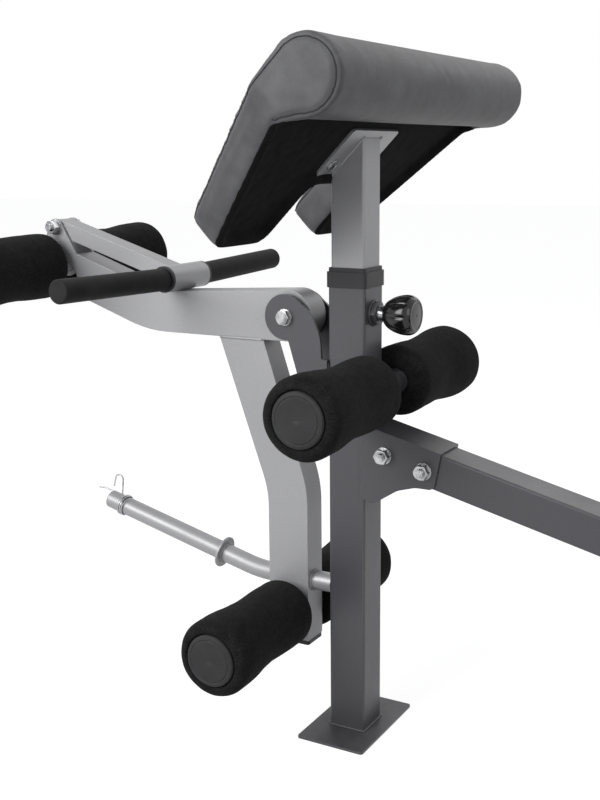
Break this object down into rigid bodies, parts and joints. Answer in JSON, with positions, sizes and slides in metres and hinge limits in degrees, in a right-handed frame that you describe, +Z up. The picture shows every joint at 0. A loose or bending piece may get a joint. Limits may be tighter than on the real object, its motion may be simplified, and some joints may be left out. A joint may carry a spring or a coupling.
{
  "type": "utility bench",
  "caption": "Weight bench with a sliding preacher pad on its front upright, a leg lever with foam rollers, weight horn and folding curl bar, and a sloping rail to a seat and tilting backrest.",
  "frame": {"origin": "On the floor under the centre line of the front upright, at the underside of the foot plate.", "axes": "+X runs from the front upright to the rear foot, along the rail; +Y runs across the bench to the side away from the camera; +Z is up."},
  "size_m": [1.918, 0.526, 0.8566],
  "materials": {
    "dark_paint": "charcoal paint, low gloss",
    "light_paint": "silver grey paint, satin",
    "bright_zinc": "bright zinc plating",
    "black_plastic": "black plastic, glossy",
    "stop_rubber": "black rubber, matt",
    "grip_rubber": "black rubber, matt",
    "foam": "black foam with a cloth-like skin",
    "vinyl": "dark grey grained vinyl",
    "board": "board under black cloth"
  },
  "bodies": {
    "frame": {"front_upright": "dark_paint", "foot_plate": "dark_paint", "upright_collar": "black_plastic", "pivot_bracket": "dark_paint", "pivot_bolt": "bright_zinc", "plunger_nut": "dark_paint", "plunger_barrel": "bright_zinc", "rail_bracket": "dark_paint", "main_rail": "dark_paint", "rail_bolts": "bright_zinc", "frame_end_plugs": "black_plastic", "rear_foot": "dark_paint", "rear_saddle": "dark_paint", "upper_roller_tube": "light_paint", "upper_end_caps": "black_plastic", "seat_post": "dark_paint", "seat_frame": "dark_paint", "seat_board": "board", "seat_pad": "vinyl", "seat_screws": "bright_zinc", "back_hinge_bolt": "bright_zinc"},
    "pull_pin": {"lock_pin": "bright_zinc", "pull_knob": "black_plastic", "plunger_spring": "bright_zinc"},
    "upper_roller_near": {"upper_foam_near": "foam"},
    "upper_roller_far": {"upper_foam_far": "foam"},
    "leg_lever": {"lever_beam": "light_paint", "lever_arm": "light_paint", "lever_lugs": "light_paint", "lever_end_plugs": "black_plastic", "pivot_bushes": "black_plastic", "weight_horn": "light_paint", "horn_flange": "light_paint", "horn_end_plug": "light_paint", "stop_bumper": "stop_rubber", "front_roller_tube": "light_paint", "lower_roller_tube": "light_paint", "lever_end_caps": "black_plastic", "curl_pivot_bolt": "bright_zinc"},
    "front_roller_near": {"front_foam_near": "foam"},
    "front_roller_far": {"front_foam_far": "foam"},
    "lower_roller_near": {"lower_foam_near": "foam"},
    "lower_roller_far": {"lower_foam_far": "foam"},
    "curl_arm": {"curl_arm": "light_paint", "curl_sleeve": "light_paint", "sleeve_bushes": "black_plastic"},
    "curl_bar": {"curl_bar": "light_paint", "curl_grips": "grip_rubber"},
    "spring_clip": {"spring_clip": "bright_zinc"},
    "preacher_pad": {"preacher_post": "light_paint", "preacher_plate": "light_paint", "preacher_bolts": "bright_zinc", "preacher_board": "board", "preacher_pad": "vinyl"},
    "backrest": {"back_frame": "dark_paint", "back_board": "board", "back_pad": "vinyl", "back_screws": "bright_zinc"},
    "back_pin": {"back_lock_pin": "bright_zinc"}
  },
  "joints": [
    {"name": "leg_lever_swing", "type": "hinge", "parent": "frame", "child": "leg_lever", "pos_m": [-0.0845, 0, 0.542], "axis": [0, 1, 0], "range_deg": [0, 62]},
    {"name": "curl_arm_fold", "type": "hinge", "parent": "leg_lever", "child": "curl_arm", "pos_m": [-0.46, 0, 0.64496], "axis": [0, -1, 0], "range_deg": [0, 240]},
    {"name": "curl_bar_turn", "type": "hinge", "parent": "curl_arm", "child": "curl_bar", "pos_m": [-0.25884, 0, 0.58261], "axis": [0, 1, 0], "continuous": true},
    {"name": "upper_roller_near_turn", "type": "hinge", "parent": "frame", "child": "upper_roller_near", "pos_m": [0.0377, 0, 0.46], "axis": [0, 1, 0], "continuous": true},
    {"name": "upper_roller_far_turn", "type": "hinge", "parent": "frame", "child": "upper_roller_far", "pos_m": [0.0377, 0, 0.46], "axis": [0, 1, 0], "continuous": true},
    {"name": "front_roller_near_turn", "type": "hinge", "parent": "leg_lever", "child": "front_roller_near", "pos_m": [-0.473, 0, 0.59196], "axis": [0, 1, 0], "continuous": true},
    {"name": "front_roller_far_turn", "type": "hinge", "parent": "leg_lever", "child": "front_roller_far", "pos_m": [-0.473, 0, 0.59196], "axis": [0, 1, 0], "continuous": true},
    {"name": "lower_roller_near_turn", "type": "hinge", "parent": "leg_lever", "child": "lower_roller_near", "pos_m": [-0.08925, 0, 0.151], "axis": [0, 1, 0], "continuous": true},
    {"name": "lower_roller_far_turn", "type": "hinge", "parent": "leg_lever", "child": "lower_roller_far", "pos_m": [-0.08925, 0, 0.151], "axis": [0, 1, 0], "continuous": true},
    {"name": "preacher_height", "type": "slide", "parent": "frame", "child": "preacher_pad", "axis": [0, 0, 1], "range_m": [0, 0.09]},
    {"name": "pull_pin_draw", "type": "slide", "parent": "frame", "child": "pull_pin", "axis": [1, 0, 0], "range_m": [-0.006, 0.006], "stiffness_N_per_m": 1500, "springref_m": -0.006, "deforming": ["plunger_spring"]},
    {"name": "spring_clip_slide", "type": "slide", "parent": "leg_lever", "child": "spring_clip", "axis": [-0.9699, 0, 0.2436], "range_m": [-0.15, 0.03]},
    {"name": "backrest_tilt", "type": "hinge", "parent": "frame", "child": "backrest", "pos_m": [0.697, 0, 0.424], "axis": [0, -1, 0], "range_deg": [0, 60]},
    {"name": "back_pin_draw", "type": "slide", "parent": "frame", "child": "back_pin", "axis": [0, -1, 0], "range_m": [-0.01, 0.006]}
  ]
}
